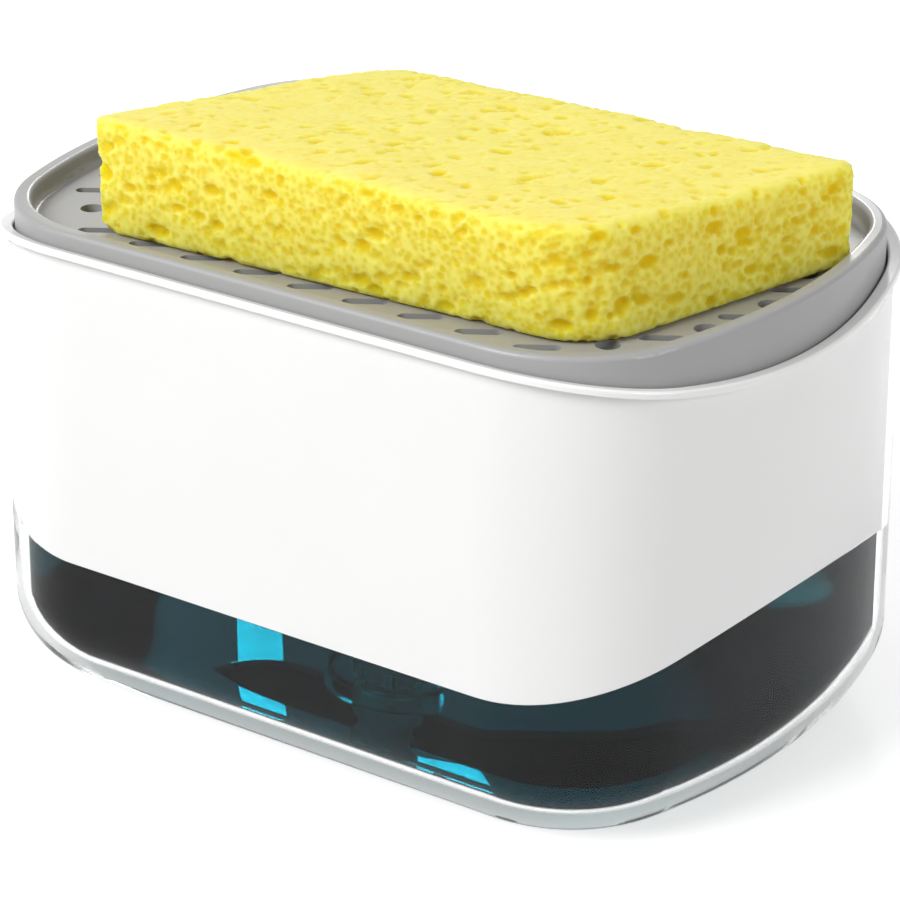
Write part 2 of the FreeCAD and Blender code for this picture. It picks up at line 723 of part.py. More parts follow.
def make_pump_cylinder():
    """Make the barrel: clamped flange, bore, cage step, inlet valve seat and tube socket."""
    flange = "flange_diameter / 2"
    shoulder = f"({CAGE_SEAT} - barrel_wall)"
    nose = f"({shoulder} - {BARREL} + {VALVE_BODY})"
    socket = f"({TUBE} + static_fit)"
    turned("pump_cylinder", [
        (flange, FLANGE_UNDER), (flange, FLANGE_TOP), (BORE, FLANGE_TOP), (BORE, CAGE_SEAT),
        (CHAMBER, CAGE_SEAT), (CHAMBER, f"{INLET_SEAT} + {CHAMBER} - {THROAT}"), (THROAT, INLET_SEAT),
        (THROAT, SOCKET_TOP), (socket, SOCKET_TOP), (socket, BARREL_BOTTOM),
        (VALVE_BODY, BARREL_BOTTOM), (VALVE_BODY, nose), (BARREL, shoulder), (BARREL, FLANGE_UNDER)])


def make_clamp():
    """Make what clamps the barrel to the neck: washer, stem guide and fluted collar nut."""
    flange = "flange_diameter / 2"
    turned("cylinder_gasket", [
        (f"{BARREL} + static_fit", NECK_TOP), (flange, NECK_TOP),
        (flange, FLANGE_UNDER), (f"{BARREL} + static_fit", FLANGE_UNDER)])
    hole = f"({STEM} + running_fit)"
    skirt = f"({BORE} - static_fit)"
    inside = f"({BOSS} + boss_fit)"
    turned("stem_guide", [
        (hole, GUIDE_BOTTOM), (skirt, GUIDE_BOTTOM), (skirt, FLANGE_TOP), (flange, FLANGE_TOP),
        (flange, GUIDE_TOP), (inside, GUIDE_TOP), (inside, GUIDE_FLOOR), (hole, GUIDE_FLOOR)])
    thread = f"({NECK} + thread_fit)"
    foot = f"({DECK_TOP} + rest_gap)"
    nut = turned("collar_nut", [
        (inside, GUIDE_TOP), (thread, GUIDE_TOP), (thread, foot), ("nut_diameter / 2", foot),
        ("nut_diameter / 2", NUT_TOP), (inside, NUT_TOP)])
    holes_around(nut, "nut_flutes", NUT_TOP, f"{NUT_TOP} - {foot} + overrun", "nut_flute_diameter",
                 "(nut_diameter + nut_flute_diameter / 2) / 2", NUT_FLUTES)


def make_suction():
    """Make the inlet side: ball cage, suction tube and notched strainer foot."""
    rim = f"({BORE} - static_fit)"
    cage = turned("ball_cage", [("0", CAGE_SEAT), (rim, CAGE_SEAT), (rim, CAGE_TOP), ("0", CAGE_TOP)])
    holes_around(cage, "cage_ports", CAGE_TOP, "cage_thickness + overrun", "cage_port_diameter",
                 f"({CHAMBER} - cage_port_diameter / 2)", CAGE_PORTS)
    plate = f"({STRAINER_TOP} - strainer_wall)"
    turned("dip_tube", [
        ("tube_bore / 2", plate), (TUBE, plate), (TUBE, SOCKET_TOP), ("tube_bore / 2", SOCKET_TOP)])
    outer = "strainer_diameter / 2"
    inner = f"({outer} - strainer_wall)"
    hub_bore = f"({TUBE} + static_fit)"
    hub = f"({hub_bore} + strainer_hub_wall)"
    hub_top = f"({STRAINER_TOP} + strainer_hub_height)"
    strainer = turned("inlet_strainer", [
        (inner, STRAINER_BOTTOM), (outer, STRAINER_BOTTOM), (outer, STRAINER_TOP), (hub, STRAINER_TOP),
        (hub, hub_top), (hub_bore, hub_top), (hub_bore, plate), (inner, plate)])
    notch = new_sketch(strainer, "strainer_notch", level=STRAINER_BOTTOM)
    half = "strainer_notch / 2"
    polygon(notch, [(f"{inner} - strainer_wall", half), (f"{outer} + overrun", half),
                    (f"{outer} + overrun", f"-{half}"), (f"{inner} - strainer_wall", f"-{half}")])
    around(strainer, pocket(strainer, notch, "strainer_notch", upwards=True), STRAINER_NOTCHES)


def make_plunger():
    """Make what moves with the tray: hollow stem, two-lipped piston and perforated nozzle."""
    turned("plunger_stem", [
        (THROAT, STEM_BOTTOM), ("stem_foot_diameter / 2", STEM_BOTTOM),
        ("stem_foot_diameter / 2", PISTON_BOTTOM), (STEM, PISTON_BOTTOM), (STEM, STEM_TOP),
        (STEM_SEAT_RADIUS, STEM_TOP), (THROAT, OUTLET_SEAT)])
    lip = f"({BORE} - running_fit)"
    waist = "piston_waist_diameter / 2"
    inner = f"({STEM} + static_fit)"
    turned("piston", [
        (inner, PISTON_BOTTOM), (lip, PISTON_BOTTOM), (lip, f"{PISTON_BOTTOM} + piston_lip"),
        (waist, f"{PISTON_BOTTOM} + 2 * piston_lip"), (waist, f"{PISTON_TOP} - 2 * piston_lip"),
        (lip, f"{PISTON_TOP} - piston_lip"), (lip, PISTON_TOP), (inner, PISTON_TOP)])
    flange = f"({NOZZLE_TOP} - nozzle_flange)"
    plug_foot = f"({STEM_TOP} + static_fit)"
    nozzle = turned("soap_nozzle", [
        ("0", ROOF_UNDER), (CHAMBER, ROOF_UNDER), (CHAMBER, plug_foot), (PLUG, plug_foot),
        (PLUG, flange), ("nozzle_diameter / 2", flange), ("nozzle_diameter / 2", NOZZLE_TOP),
        ("0", NOZZLE_TOP)])
    holes_around(nozzle, "nozzle_holes", NOZZLE_TOP, "nozzle_roof + static_fit", "nozzle_hole_diameter",
                 f"({CHAMBER} - nozzle_hole_diameter)", NOZZLE_HOLES)


def make_ball(label, seat):
    """Make a valve ball that rests on a conical seat."""
    ball = doc.addObject("Part::Sphere", label)
    ball.Label = label
    bind(ball, "Radius", BALL)
    bind(ball, "Placement.Base.z", f"{seat} + {BALL_CENTRE_UP}")
    sub_parts.append(ball)


def bend(start, direction, end):
    """Return the arc that leaves a point in a direction and reaches another point."""
    chord = end - start
    rise = direction - chord * (direction.dot(chord) / chord.dot(chord))
    half_turn = direction.getAngle(chord)
    sagitta = chord.Length / 2 * math.tan(half_turn / 2)
    middle = (start + end) * 0.5 + rise.normalize() * sagitta
    return Part.Arc(start, middle, end).toShape()


def biarc(start, leave, end, arrive):
    """Return the two arcs that join two points with given directions, smooth where they meet."""
    chord = end - start
    both = leave + arrive
    spread = 2 * (1 - leave.dot(arrive))
    reach = (math.sqrt(chord.dot(both) ** 2 + spread * chord.dot(chord)) - chord.dot(both)) / spread
    joint = (start + end + (leave - arrive) * reach) * 0.5
    tangent = (joint - start - leave * reach) * (1 / reach)
    return [bend(start, leave, joint), bend(joint, tangent.normalize(), end)]


def make_return_spring():
    """Make the coil spring as one tube on quarter-turn biarcs, with straight ends."""
    wire = value("wire_diameter")
    radius = value("(spring_diameter - wire_diameter) / 2")
    low = value(f"{CAGE_TOP} + wire_diameter / 2 + seat_gap")
    high = value(f"{STEM_BOTTOM} - wire_diameter / 2 - seat_gap")
    coils = round((high - low) / value("spring_pitch"))
    lead = (high - low) / (2 * math.pi * coils)

    def point(turn):
        """Return the point of the wire's axis after an angle."""
        return Vector(radius * math.cos(turn), radius * math.sin(turn), low + lead * turn)

    def heading(turn):
        """Return the direction of the wire after an angle."""
        return Vector(-radius * math.sin(turn), radius * math.cos(turn), lead).normalize()

    step = 2 * math.pi / BIARCS_PER_TURN
    turns = [step * count for count in range(coils * BIARCS_PER_TURN + 1)]
    first, last = point(turns[0]), point(turns[-1])
    tail = first - heading(turns[0]) * wire
    edges = [Part.LineSegment(tail, first).toShape()]
    for here, there in zip(turns, turns[1:]):
        edges += biarc(point(here), heading(here), point(there), heading(there))
    edges.append(Part.LineSegment(last, last + heading(turns[-1]) * wire).toShape())
    section = Part.Wire(Part.Circle(tail, heading(turns[0]), wire / 2).toShape())
    spring = doc.addObject("Part::Feature", "return_spring")
    spring.Label = "return_spring"
    spring.Shape = Part.Wire(edges).makePipeShell([section], True, False)
    spring.Placement = FreeCAD.Placement()
    sub_parts.append(spring)
    length = sum(edge.Length for edge in edges)
    share = spring.Shape.Volume / (math.pi * wire ** 2 / 4 * length)
    print(f"return_spring: volume is {share:.3f} of its section times its length")

    turn_step = 2 * math.pi / GAP_SAMPLES_PER_TURN
    samples = [turn_step * count for count in range(coils * GAP_SAMPLES_PER_TURN)]
    least = min(point(a).distanceToPoint(point(b)) for a in samples for b in samples if b - a > math.pi)
    least -= wire
    print(f"return_spring: least gap to itself {least:.2f} mm")
    if least < value("spring_least_gap"):
        raise RuntimeError("return_spring: turns too close")


def make_sponge():
    """Make the sponge: a skewed block that is thicker at the front, with soft corners and edges."""
    body = new_body("sponge")
    foot = new_sketch(body, "sponge_outline", level=SPONGE_BOTTOM)
    half_long = "(sponge_length / 2)"
    half_short = "(sponge_depth / 2)"
    front = "(sponge_shift_long - sponge_skew / 2)"
    back = "(sponge_shift_long + sponge_skew / 2)"
    front_y = f"(-sponge_shift_short - {half_short})"
    back_y = f"(-sponge_shift_short + {half_short})"
    polygon(foot, [(f"{front} - {half_long}", front_y), (f"{front} + {half_long}", front_y),
                   (f"{back} + {half_long}", back_y), (f"{back} - {half_long}", back_y)])
    block = pad(body, foot, "sponge_front")
    base = round_edges(body, block, "sponge_corner", upright)
    slope = new_sketch(body, "sponge_slope", "YZ_Plane")
    top = f"({SPONGE_BOTTOM} + sponge_front)"
    polygon(slope, [(front_y, top), (back_y, f"{SPONGE_BOTTOM} + sponge_back"),
                    (f"{back_y} + overrun", f"{SPONGE_BOTTOM} + sponge_back"),
                    (f"{back_y} + overrun", f"{top} + overrun"), (front_y, f"{top} + overrun")])
    base = cut_across(body, slope)
    round_edges(body, base, "sponge_edge", lambda edge: not upright(edge))


def upright(edge):
    """Say whether an edge is a straight vertical one."""
    box = edge.BoundBox
    return box.XLength + box.YLength < value("static_fit")


def check_document():
    """Stop if any object failed, or if a sub-part has no valid solid."""
    for item in doc.Objects:
        if "Invalid" in item.State or "Error" in item.State:
            raise RuntimeError(f"{item.Name} failed: {item.State}")
    for part in sub_parts:
        if part.Shape.isNull() or not part.Shape.isValid() or not part.Shape.Solids:
            raise RuntimeError(f"{part.Label}: no valid solid")


make_reservoir()
make_foot_pads()
make_white_sleeve()
make_press_tray()
make_pump_deck()
make_deck_gasket()
make_pump_cylinder()
make_clamp()
make_suction()
make_plunger()
make_ball("inlet_ball", INLET_SEAT)
make_ball("outlet_ball", OUTLET_SEAT)
make_return_spring()
make_sponge()
doc.recompute()
check_document()
os.makedirs("parts", exist_ok=True)
for part in sub_parts:
    part.Shape.exportStep(f"parts/{part.Label}.step")
    print(f"{part.Label}: {len(part.Shape.Solids)} solid(s), {part.Shape.Volume:.1f} mm3")
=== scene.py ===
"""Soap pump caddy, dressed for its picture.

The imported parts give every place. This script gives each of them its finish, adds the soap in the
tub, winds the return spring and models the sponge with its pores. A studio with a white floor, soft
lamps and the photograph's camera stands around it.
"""
from __future__ import annotations

import enum
import logging
import math
import random
from dataclasses import dataclass, field
from typing import Any

import bmesh
import bpy
from mathutils import Matrix, Vector, kdtree, noise

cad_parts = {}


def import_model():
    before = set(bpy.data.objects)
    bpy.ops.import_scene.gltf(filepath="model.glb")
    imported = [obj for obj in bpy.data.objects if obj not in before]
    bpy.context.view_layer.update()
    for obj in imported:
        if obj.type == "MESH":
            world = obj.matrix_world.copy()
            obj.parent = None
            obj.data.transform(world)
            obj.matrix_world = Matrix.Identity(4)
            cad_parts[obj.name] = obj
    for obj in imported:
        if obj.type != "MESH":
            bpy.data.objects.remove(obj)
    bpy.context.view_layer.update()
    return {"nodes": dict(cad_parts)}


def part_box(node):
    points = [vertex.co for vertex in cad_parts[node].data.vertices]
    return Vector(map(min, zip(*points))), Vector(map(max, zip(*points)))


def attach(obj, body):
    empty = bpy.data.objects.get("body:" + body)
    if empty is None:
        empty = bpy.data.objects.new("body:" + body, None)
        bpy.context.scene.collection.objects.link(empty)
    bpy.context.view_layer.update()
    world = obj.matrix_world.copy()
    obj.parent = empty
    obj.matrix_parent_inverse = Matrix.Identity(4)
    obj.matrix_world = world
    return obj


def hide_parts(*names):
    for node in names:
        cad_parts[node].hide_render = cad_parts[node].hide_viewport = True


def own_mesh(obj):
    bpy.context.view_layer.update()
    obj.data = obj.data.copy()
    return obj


LOG = logging.getLogger("soap_pump_caddy")
MM = 0.001
CENTIMETRE = 10 * MM
UP = (0.0, 0.0, 1.0)
WHITE = (1.0, 1.0, 1.0, 1.0)
SMOOTH_BELOW = math.radians(32.0)
PAINTED_PORE_SHADE = "painted_pore_shade"
CRUST = "crust"


def linear(code: str) -> tuple[float, float, float, float]:
    """Turn an sRGB hex colour into linear RGBA.

    Args:
        code: Six hex digits, two each for red, green and blue.

    Returns:
        The linear colour with an alpha of one.
    """
    shares = [int(code[at:at + 2], 16) / 255 for at in (0, 2, 4)]
    low_end, slope, offset, power = 0.04045, 12.92, 0.055, 2.4
    red, green, blue = (
        share / slope if share <= low_end else ((share + offset) / (1 + offset)) ** power
        for share in shares
    )
    return red, green, blue, 1.0


def per_metre(size: float) -> float:
    """Return the texture scale that gives a pattern this size in metres."""
    return 1.0 / size


def add_node(
    tree: bpy.types.NodeTree, kind: str, inputs: dict[str | int, Any] | None = None,
    **settings: Any
) -> bpy.types.Node:
    """Add a node with its settings, and fill or link its inputs.

    Args:
        tree: The node tree that takes the node.
        kind: Blender's name of the node type.
        inputs: Values or output sockets, by input name or index.
        **settings: Properties of the node itself.

    Returns:
        The new node.
    """
    node = tree.nodes.new(kind)
    for name, setting in settings.items():
        setattr(node, name, setting)
    for name, given in (inputs or {}).items():
        if isinstance(given, bpy.types.NodeSocket):
            tree.links.new(given, node.inputs[name])
        else:
            node.inputs[name].default_value = given
    return node


def blend(
    tree: bpy.types.NodeTree, share: bpy.types.NodeSocket, first: Any, second: Any
) -> bpy.types.NodeSocket:
    """Blend two colours.

    Args:
        tree: The node tree that takes the node.
        share: How much of the second colour shows.
        first: A colour, or the socket that gives it.
        second: The other colour, or its socket.

    Returns:
        The socket of the blended colour.
    """
    # The sockets go by number, because this node uses each name once per data type
    colours = {0: share, 6: first, 7: second}
    return add_node(tree, "ShaderNodeMix", colours, data_type="RGBA").outputs[2]


def new_tree(name: str) -> tuple[bpy.types.Material, bpy.types.NodeTree]:
    """Make a material with an empty node tree.

    Args:
        name: The material's name.

    Returns:
        The material and its node tree.
    """
    material = bpy.data.materials.new(name)
    material.use_nodes = True
    material.node_tree.nodes.clear()
    return material, material.node_tree


def seen_directly(tree: bpy.types.NodeTree) -> bpy.types.NodeSocket:
    """Tell rays that show the surroundings, straight, in a mirror or through glass, from the rest.

    Args:
        tree: The node tree that takes the nodes.

    Returns:
        A socket that is one for such rays and zero for those that only carry light.
    """
    path = add_node(tree, "ShaderNodeLightPath").outputs
    seen = add_node(tree, "ShaderNodeMath", {
        0: path["Is Camera Ray"], 1: path["Is Glossy Ray"]}, operation="MAXIMUM").outputs["Value"]
    return add_node(tree, "ShaderNodeMath", {
        0: seen, 1: path["Is Transmission Ray"]}, operation="MAXIMUM").outputs["Value"]


def only(parts: list[Any], kind: type) -> list[Any]:
    """Return those parts of a bmesh operator's result that are of one kind."""
    return [part for part in parts if isinstance(part, kind)]


def raise_faces(
    bm: bmesh.types.BMesh, faces: list[bmesh.types.BMFace], height: float
) -> list[bmesh.types.BMFace]:
    """Extrude faces straight up, and keep the originals as the underside.

    Args:
        bm: The mesh.
        faces: The faces to raise.
        height: How far they go up.

    Returns:
        The raised faces.
    """
    parts = bmesh.ops.extrude_face_region(bm, geom=faces, use_keep_orig=True)["geom"]
    bmesh.ops.translate(bm, verts=only(parts, bmesh.types.BMVert), vec=(0.0, 0.0, height))
    return only(parts, bmesh.types.BMFace)


def round_edges(
    bm: bmesh.types.BMesh, edges: list[bmesh.types.BMEdge], radius: float, steps: int
) -> None:
    """Round edges off with arcs.

    Args:
        bm: The mesh.
        edges: The edges, which the rounding takes the place of.
        radius: How far the rounding reaches to either side.
        steps: The number of faces across it.
    """
    bmesh.ops.bevel(
        bm, geom=edges, offset=radius, offset_type="OFFSET", segments=steps, profile=0.5,
        affect="EDGES", material=-1)


def dress(piece: bpy.types.Object, material: bpy.types.Material) -> None:
    """Give every face of a piece one material."""
    piece.data.materials.clear()
    piece.data.materials.append(material)


def piece_from(bm: bmesh.types.BMesh, name: str, smooth: bool = True) -> bpy.types.Object:
    """Make an object at the origin from a finished bmesh.

    Args:
        bm: The mesh, which is freed.
        name: The name of the piece.
        smooth: Whether faces below the smoothing angle shade as one surface.

    Returns:
        The linked object.
    """
    mesh = bpy.data.meshes.new(name)
    bm.to_mesh(mesh)
    bm.free()
    if smooth:
        mesh.shade_smooth()
        mesh.set_sharp_from_angle(angle=SMOOTH_BELOW)
    piece = bpy.data.objects.new(name, mesh)
    bpy.context.scene.collection.objects.link(piece)
    return piece


@dataclass(frozen=True)
class MouldedPlastic:
    """Opaque injection-moulded plastic: an even colour, a soft gloss and a faint mould texture."""

    name: str
    colour: str
    shade: str
    roughness: tuple[float, float]
    grain: float = 1.6 * MM
    grain_detail: float = 2.0
    cloud: float = 30.0 * MM
    cloud_detail: float = 3.0
    cloud_band: tuple[float, float] = (0.3, 0.7)
    relief: float = 0.006 * MM
    ior: float = 1.53
    subsurface: float = 0.0
    glow_depth: float = 2.0 * MM
    coat: float = 0.0
    coat_roughness: float = 0.08

    def build(self) -> bpy.types.Material:
        """Build the material, with cloudy gloss and the fine grain of the mould.

        Returns:
            The finished material.
        """
        material, tree = new_tree(self.name)
        place = add_node(tree, "ShaderNodeTexCoord").outputs["Object"]
        cloud = add_node(tree, "ShaderNodeTexNoise", {
            "Vector": place, "Scale": per_metre(self.cloud), "Detail": self.cloud_detail})
        grain = add_node(tree, "ShaderNodeTexNoise", {
            "Vector": place, "Scale": per_metre(self.grain), "Detail": self.grain_detail})
        tint = blend(tree, cloud.outputs["Fac"], linear(self.colour), linear(self.shade))
        gloss = add_node(tree, "ShaderNodeMapRange", {
            "Value": cloud.outputs["Fac"],
            "From Min": self.cloud_band[0], "From Max": self.cloud_band[1],
            "To Min": self.roughness[0], "To Max": self.roughness[1]})
        bump = add_node(tree, "ShaderNodeBump", {
            "Height": grain.outputs["Fac"], "Distance": self.relief, "Strength": 1.0})
        shader = add_node(tree, "ShaderNodeBsdfPrincipled", {
            "Base Color": tint, "Roughness": gloss.outputs["Result"],
            "Normal": bump.outputs["Normal"], "IOR": self.ior,
            "Subsurface Weight": self.subsurface, "Subsurface Scale": self.glow_depth,
            "Coat Weight": self.coat, "Coat Roughness": self.coat_roughness})
        add_node(tree, "ShaderNodeOutputMaterial", {"Surface": shader.outputs["BSDF"]})
        return material


@dataclass(frozen=True)
class ClearPlastic:
    """Clear styrene acrylonitrile from a polished mould: glossy, faintly wavy, grey where deep."""

    name: str = "clear_styrene_acrylonitrile"
    colour: str = "FFFFFF"
    ior: float = 1.05
    roughness: float = 0.01
    mirror: float = 0.15
    gloss: float = 0.25
    gloss_ior: float = 1.5
    gloss_roughness: float = 0.02
    depth_colour: str = "7F8484"
    density: float = 22.0
    wave: float = 22.0 * MM
    wave_detail: float = 1.0
    relief: float = 0.01 * MM

    def build(self) -> bpy.types.Material:
        """Build the material, which lets lamp light and bounced light reach what stands behind it.

        Returns:
            The finished material.
        """
        material, tree = new_tree(self.name)
        place = add_node(tree, "ShaderNodeTexCoord").outputs["Object"]
        wave = add_node(tree, "ShaderNodeTexNoise", {
            "Vector": place, "Scale": per_metre(self.wave), "Detail": self.wave_detail})
        bump = add_node(tree, "ShaderNodeBump", {
            "Height": wave.outputs["Fac"], "Distance": self.relief, "Strength": 1.0})
        shader = add_node(tree, "ShaderNodeBsdfPrincipled", {
            "Base Color": linear(self.colour), "Roughness": self.roughness, "IOR": self.ior,
            "Transmission Weight": 1.0,
            "Specular Tint": (self.mirror, self.mirror, self.mirror, 1.0),
            "Coat Weight": self.gloss, "Coat IOR": self.gloss_ior,
            "Coat Roughness": self.gloss_roughness, "Normal": bump.outputs["Normal"]})
        passing = add_node(tree, "ShaderNodeBsdfTransparent", {"Color": linear(self.colour)})
        path = add_node(tree, "ShaderNodeLightPath").outputs
        lamps = add_node(tree, "ShaderNodeMixShader", {
            0: path["Is Shadow Ray"], 1: shader.outputs["BSDF"], 2: passing.outputs["BSDF"]})
        bounces = add_node(tree, "ShaderNodeMixShader", {
            0: path["Is Diffuse Ray"], 1: lamps.outputs["Shader"], 2: passing.outputs["BSDF"]})
        depth = add_node(tree, "ShaderNodeVolumeAbsorption", {
            "Color": linear(self.depth_colour), "Density": self.density})
        add_node(tree, "ShaderNodeOutputMaterial", {
            "Surface": bounces.outputs["Shader"], "Volume": depth.outputs["Volume"]})
        return material


@dataclass(frozen=True)
class DishSoap:
    """Blue dish soap: a clear liquid that takes up light, from cyan to near black with depth."""

    name: str = "blue_dish_soap"
    depth_colour: str = "3DEBED"
    density: float = 185.0
    ior: float = 1.3
    mirror: float = 0.1

    def build(self) -> bpy.types.Material:
        """Build the material, which wets the wall, so that it mirrors only from within.

        Returns:
            The finished material.
        """
        material, tree = new_tree(self.name)
        shader = add_node(tree, "ShaderNodeBsdfPrincipled", {
            "Base Color": WHITE, "Roughness": 0.0, "IOR": self.ior,
            "Transmission Weight": 1.0,
            "Specular Tint": (self.mirror, self.mirror, self.mirror, 1.0)})
        wetted = add_node(tree, "ShaderNodeBsdfRefraction", {
            "Color": WHITE, "Roughness": 0.0, "IOR": self.ior})
        leaving = add_node(tree, "ShaderNodeNewGeometry").outputs["Backfacing"]
        sides = add_node(tree, "ShaderNodeMixShader", {
            0: leaving, 1: wetted.outputs["BSDF"], 2: shader.outputs["BSDF"]})
        depth = add_node(tree, "ShaderNodeVolumeAbsorption", {
            "Color": linear(self.depth_colour), "Density": self.density})
        add_node(tree, "ShaderNodeOutputMaterial", {
            "Surface": sides.outputs["Shader"], "Volume": depth.outputs["Volume"]})
        return material


@dataclass(frozen=True)
class DrawnSteel:
    """Bright stainless steel, drawn or ground: a clean mirror with fine scratches."""

    name: str = "bright_stainless_steel"
    colour: str = "C9CBCC"
    roughness: tuple[float, float] = (0.14, 0.28)
    scratch: float = 0.5 * MM
    scratch_detail: float = 4.0

    def build(self) -> bpy.types.Material:
        """Build the material, with roughness streaked by fine scratches.

        Returns:
            The finished material.
        """
        material, tree = new_tree(self.name)
        place = add_node(tree, "ShaderNodeTexCoord").outputs["Object"]
        scratch = add_node(tree, "ShaderNodeTexNoise", {
            "Vector": place, "Scale": per_metre(self.scratch), "Detail": self.scratch_detail})
        gloss = add_node(tree, "ShaderNodeMapRange", {
            "Value": scratch.outputs["Fac"],
            "To Min": self.roughness[0], "To Max": self.roughness[1]})
        shader = add_node(tree, "ShaderNodeBsdfPrincipled", {
            "Base Color": linear(self.colour), "Metallic": 1.0,
            "Roughness": gloss.outputs["Result"]})
        add_node(tree, "ShaderNodeOutputMaterial", {"Surface": shader.outputs["BSDF"]})
        return material


@dataclass(frozen=True)
class CelluloseSponge:
    """Yellow cellulose sponge, cut from a foamed block: pale dry skin, painted shade of deeper yellow
    in pores.
    """

    name: str = "yellow_cellulose_sponge"
    crust: str = "F3E884"
    crust_shade: str = "EDD95A"
    skin: str = "F6EA70"
    skin_shade: str = "E6D23C"
    # The pore colours are painted shade: darker, deeper yellow where the pores sink
    pore: str = "F0D414"
    pore_shade: str = "DCC61C"
    cell: float = 1.1 * MM
    pit: float = 2.1 * MM
    pit_share: tuple[float, float] = (0.16, 0.42)
    open_share: tuple[float, float] = (0.8, 0.25)
    # Painted shade in the fine cells: the band of cell distance over which the skin darkens
    cell_dent_shade_band: tuple[float, float] = (0.15, 0.6)
    patch: float = 6.0 * MM
    patch_detail: float = 4.0
    cell_relief: float = 0.12 * MM
    cell_strength: float = 0.6
    pit_relief: float = 0.3 * MM
    pit_strength: float = 0.8
    roughness: float = 0.9
    shine: float = 0.2
    glow: float = 0.9
    glow_depth: float = 8.0 * MM
    glow_reach: tuple[float, float, float] = (1.0, 0.85, 0.25)

    def build(self) -> bpy.types.Material:
        """Build the material, which paints shade into the large pores from the mesh and into finer
        ones it adds.

        Returns:
            The finished material.
        """
        material, tree = new_tree(self.name)
        place = add_node(tree, "ShaderNodeTexCoord").outputs["Object"]
        depth = add_node(tree, "ShaderNodeAttribute", attribute_name=PAINTED_PORE_SHADE)
        crust = add_node(tree, "ShaderNodeAttribute", attribute_name=CRUST)
        cells = add_node(tree, "ShaderNodeTexVoronoi", {
            "Vector": place, "Scale": per_metre(self.cell)}, feature="SMOOTH_F1")
        pits = add_node(tree, "ShaderNodeTexVoronoi", {
            "Vector": place, "Scale": per_metre(self.pit)})
        patch = add_node(tree, "ShaderNodeTexNoise", {
            "Vector": place, "Scale": per_metre(self.patch), "Detail": self.patch_detail})
        open_share = add_node(tree, "ShaderNodeMapRange", {
            "Value": crust.outputs["Fac"],
            "To Min": self.open_share[0], "To Max": self.open_share[1]})
        pitted = add_node(tree, "ShaderNodeMapRange", {
            "Value": pits.outputs["Distance"],
            "From Min": self.pit_share[0], "From Max": self.pit_share[1],
            "To Min": open_share.outputs["Result"], "To Max": 0.0}, interpolation_type="SMOOTHSTEP")
        # Painted shade: the deep pores of the mesh and the finer pits take the darker pore colours
        sunk = add_node(tree, "ShaderNodeMath", {
            0: depth.outputs["Fac"], 1: pitted.outputs["Result"]}, operation="MAXIMUM")
        # Painted shade: the skin darkens towards each cell's centre, where the cell bump sinks
        cell_dent_shade = add_node(tree, "ShaderNodeMapRange", {
            "Value": cells.outputs["Distance"], "To Min": 1.0, "To Max": 0.0,
            "From Min": self.cell_dent_shade_band[0], "From Max": self.cell_dent_shade_band[1]})
        cut = blend(tree, cell_dent_shade.outputs["Result"], linear(self.skin), linear(self.skin_shade))
        dry = blend(tree, patch.outputs["Fac"], linear(self.crust), linear(self.crust_shade))
        skin = blend(tree, crust.outputs["Fac"], cut, dry)
        pore = blend(tree, patch.outputs["Fac"], linear(self.pore), linear(self.pore_shade))
        tint = blend(tree, sunk.outputs["Value"], skin, pore)
        grain = add_node(tree, "ShaderNodeBump", {
            "Height": cells.outputs["Distance"], "Distance": self.cell_relief,
            "Strength": self.cell_strength})
        bump = add_node(tree, "ShaderNodeBump", {
            "Height": pitted.outputs["Result"], "Distance": self.pit_relief,
            "Strength": self.pit_strength, "Normal": grain.outputs["Normal"]}, invert=True)
        shader = add_node(tree, "ShaderNodeBsdfPrincipled", {
            "Base Color": tint, "Roughness": self.roughness, "Specular IOR Level": self.shine,
            "Normal": bump.outputs["Normal"], "Subsurface Weight": self.glow,
            "Subsurface Scale": self.glow_depth, "Subsurface Radius": self.glow_reach})
        add_node(tree, "ShaderNodeOutputMaterial", {"Surface": shader.outputs["BSDF"]})
        return material


# Glossy white ABS, satin grey ABS, waxy polypropylene in white and undyed, and dull soft silicone
WHITE_ABS = MouldedPlastic("white_moulded_abs", "F6F6F5", "F2F2F1", (0.10, 0.16))
GREY_ABS = MouldedPlastic("grey_moulded_abs", "A2A2A2", "9E9E9E", (0.42, 0.5), coat=0.18)
DECK_POLYPROPYLENE = MouldedPlastic("white_moulded_polypropylene", "E4E4E2", "DEDEDC", (0.34, 0.44))
NATURAL_POLYPROPYLENE = MouldedPlastic(
    "natural_polypropylene", "DDE0DF", "D2D6D5", (0.30, 0.42), subsurface=0.15)
SILICONE = MouldedPlastic(
    "pale_silicone", "CBD0D0", "C3C8C8", (0.45, 0.58), ior=1.41, subsurface=0.15)
STEEL = DrawnSteel()
Finish = MouldedPlastic | ClearPlastic | DrawnSteel


